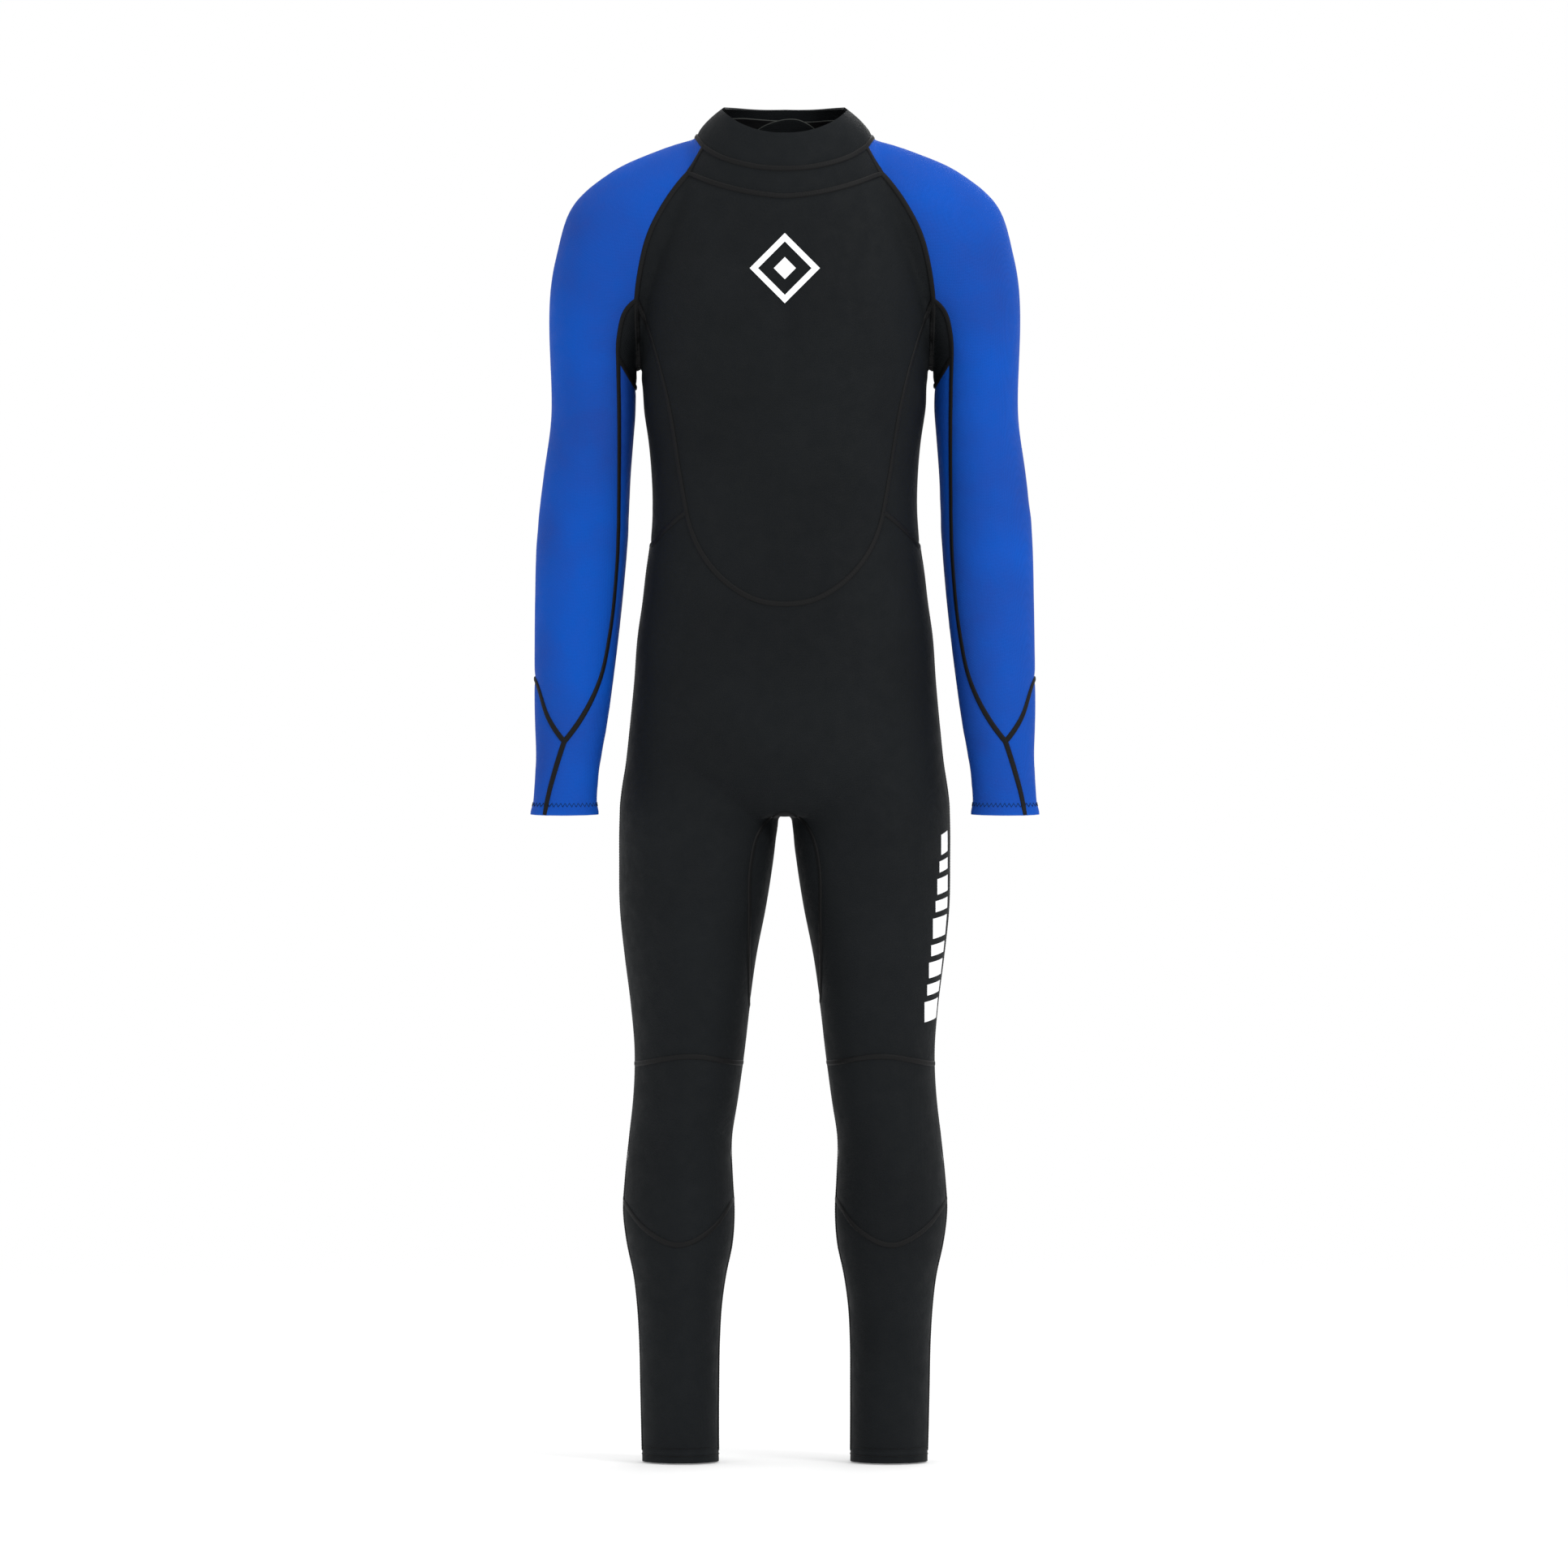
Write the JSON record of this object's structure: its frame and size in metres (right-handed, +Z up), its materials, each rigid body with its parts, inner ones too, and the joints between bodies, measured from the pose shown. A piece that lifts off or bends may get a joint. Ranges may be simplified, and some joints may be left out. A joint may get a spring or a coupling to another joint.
{
  "type": "full wetsuit",
  "caption": "Long-sleeved, long-legged neoprene wetsuit with a stand-up collar, contrasting raglan sleeves, shaped knee panels and a back zip.",
  "frame": {"origin": "middle of the neck opening, at the height of the collar", "axes": "+Z up from the ankles to the neck, +X to the wearer's left, +Y to the wearer's back"},
  "size_m": [0.5518, 0.2381, 1.476],
  "materials": {
    "black_neoprene": "matte jersey-lined neoprene",
    "blue_neoprene": "matte jersey-lined neoprene",
    "smooth_skin": "smooth-skin neoprene",
    "zip_tape": "woven tape",
    "zip_chain": "moulded teeth",
    "slider_plastic": "satin moulded",
    "hook_and_loop": "hook and loop",
    "white_print": "screen print"
  },
  "bodies": {
    "suit": {"collar": "black_neoprene", "neck_yoke": "black_neoprene", "front_torso_panel": "black_neoprene", "lower_front_panel": "black_neoprene", "lower_back_panel": "black_neoprene", "crotch_gusset": "black_neoprene", "neck_seal": "smooth_skin", "zip_backing_flap": "black_neoprene", "zip_bottom_stop": "zip_chain", "zip_top_stops": "zip_chain", "closure_loop_patch": "hook_and_loop", "chest_emblem": "white_print", "left_thigh_print": "white_print", "left_upper_back": "black_neoprene", "right_upper_back": "black_neoprene", "left_side_panel": "black_neoprene", "right_side_panel": "black_neoprene", "left_knee_panel": "black_neoprene", "right_knee_panel": "black_neoprene", "left_knee_back_panel": "black_neoprene", "right_knee_back_panel": "black_neoprene", "left_upper_arm_sleeve": "blue_neoprene", "right_upper_arm_sleeve": "blue_neoprene", "left_elbow_sleeve": "blue_neoprene", "right_elbow_sleeve": "blue_neoprene", "left_upper_arm_underside": "blue_neoprene", "right_upper_arm_underside": "blue_neoprene", "left_elbow_underside": "blue_neoprene", "right_elbow_underside": "blue_neoprene", "left_underarm_gusset": "black_neoprene", "right_underarm_gusset": "black_neoprene", "left_zip_tape": "zip_tape", "right_zip_tape": "zip_tape", "left_zip_teeth": "zip_chain", "right_zip_teeth": "zip_chain"},
    "slider": {"zip_slider": "slider_plastic"},
    "pull_tab": {"pull_tab": "slider_plastic"},
    "closure_tab": {"collar_closure_tab": "black_neoprene", "closure_hook_patch": "hook_and_loop"},
    "left_forearm": {"left_forearm_sleeve": "blue_neoprene", "left_forearm_underside": "blue_neoprene", "left_forearm_outer_panel": "blue_neoprene", "left_wrist_hem": "blue_neoprene"},
    "left_shin": {"left_shin_panel": "black_neoprene", "left_calf_panel": "black_neoprene", "left_ankle_hem": "black_neoprene"},
    "right_forearm": {"right_forearm_sleeve": "blue_neoprene", "right_forearm_underside": "blue_neoprene", "right_forearm_outer_panel": "blue_neoprene", "right_wrist_hem": "blue_neoprene"},
    "right_shin": {"right_shin_panel": "black_neoprene", "right_calf_panel": "black_neoprene", "right_ankle_hem": "black_neoprene"}
  },
  "joints": [
    {"name": "zip_slide", "type": "slide", "parent": "suit", "child": "slider", "axis": [0, 0.02, -0.9998], "range_m": [0, 0.37]},
    {"name": "pull_tab_swing", "type": "hinge", "parent": "slider", "child": "pull_tab", "pos_m": [0, 0.10214, -0.05], "axis": [1, 0, 0], "range_deg": [0, 160]},
    {"name": "closure_tab_peel", "type": "hinge", "parent": "suit", "child": "closure_tab", "pos_m": [0.034, 0.085, 0.011], "axis": [0, 0, -1], "range_deg": [0, 80]},
    {"name": "left_elbow", "type": "hinge", "parent": "suit", "child": "left_forearm", "pos_m": [0.22, 0.006, -0.41], "axis": [-1, 0, 0], "range_deg": [0, 90], "deforming": ["left_elbow_sleeve", "left_elbow_underside"]},
    {"name": "right_elbow", "type": "hinge", "parent": "suit", "child": "right_forearm", "pos_m": [-0.22, 0.006, -0.41], "axis": [-1, 0, 0], "range_deg": [0, 90], "deforming": ["right_elbow_sleeve", "right_elbow_underside"]},
    {"name": "left_knee", "type": "hinge", "parent": "suit", "child": "left_shin", "pos_m": [0.112, 0.006, -1.078], "axis": [1, 0, 0], "range_deg": [0, 90], "deforming": ["left_knee_panel", "left_knee_back_panel"]},
    {"name": "right_knee", "type": "hinge", "parent": "suit", "child": "right_shin", "pos_m": [-0.112, 0.006, -1.078], "axis": [1, 0, 0], "range_deg": [0, 90], "deforming": ["right_knee_panel", "right_knee_back_panel"]}
  ]
}
